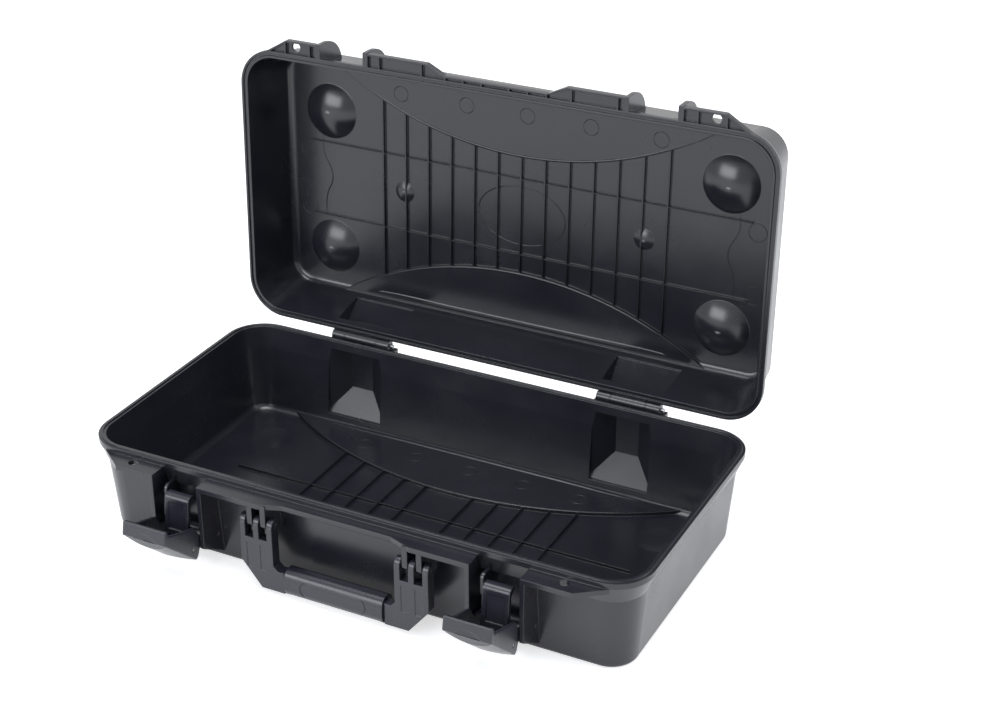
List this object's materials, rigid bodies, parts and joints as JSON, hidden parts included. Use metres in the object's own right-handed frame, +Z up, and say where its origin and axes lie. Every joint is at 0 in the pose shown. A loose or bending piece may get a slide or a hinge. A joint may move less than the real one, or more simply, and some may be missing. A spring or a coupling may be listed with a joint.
{
  "type": "binocular hard case",
  "caption": "Hard plastic case with a deep base, a hinged lid, two hook latches, padlock holes and a folding carrying handle.",
  "frame": {"origin": "middle of the underside of the base", "axes": "+X along the length to the right as seen from the latches, +Y from the latches to the hinges, +Z up"},
  "size_m": [0.47, 0.3623, 0.3361],
  "materials": {
    "shell_plastic": "moulded polypropylene, fine satin grain",
    "handle_plastic": "moulded polypropylene, satin",
    "grip_plastic": "moulded polypropylene sleeve, smooth satin",
    "latch_plastic": "moulded nylon, satin",
    "steel": "bright drawn steel rod"
  },
  "bodies": {
    "base": {"base_shell": "shell_plastic", "left_hinge_pin": "steel", "right_hinge_pin": "steel", "left_handle_pin": "steel", "right_handle_pin": "steel", "left_lever_pin": "steel", "right_lever_pin": "steel"},
    "lid": {"lid_shell": "shell_plastic"},
    "handle": {"handle_frame": "handle_plastic", "handle_grip": "grip_plastic"},
    "left_lever": {"left_latch_lever": "latch_plastic", "left_hook_pin": "steel"},
    "right_lever": {"right_latch_lever": "latch_plastic", "right_hook_pin": "steel"},
    "left_hook": {"left_latch_hook": "latch_plastic"},
    "right_hook": {"right_latch_hook": "latch_plastic"}
  },
  "joints": [
    {"name": "lid_hinge", "type": "hinge", "parent": "base", "child": "lid", "pos_m": [0, 0.1242, 0.0815], "axis": [1, 0, 0], "range_deg": [0, 91.8]},
    {"name": "handle_pivot", "type": "hinge", "parent": "base", "child": "handle", "pos_m": [0, -0.1295, 0.0583], "axis": [-1, 0, 0], "range_deg": [0, 95]},
    {"name": "left_latch", "type": "hinge", "parent": "base", "child": "left_lever", "pos_m": [-0.1381, -0.11513, 0.025], "axis": [-1, 0, 0], "range_deg": [0, 54]},
    {"name": "right_latch", "type": "hinge", "parent": "base", "child": "right_lever", "pos_m": [0.1325, -0.11513, 0.025], "axis": [-1, 0, 0], "range_deg": [0, 54]},
    {"name": "left_hook_pivot", "type": "hinge", "parent": "left_lever", "child": "left_hook", "pos_m": [-0.1353, -0.14203, 0.0248], "axis": [1, 0, 0], "range_deg": [0, 54]},
    {"name": "right_hook_pivot", "type": "hinge", "parent": "right_lever", "child": "right_hook", "pos_m": [0.1353, -0.14203, 0.0248], "axis": [1, 0, 0], "range_deg": [0, 54]}
  ],
  "couplings": [
    {"joint": "left_hook_pivot", "follows": "left_latch", "ratio": 1},
    {"joint": "right_hook_pivot", "follows": "right_latch", "ratio": 1}
  ]
}
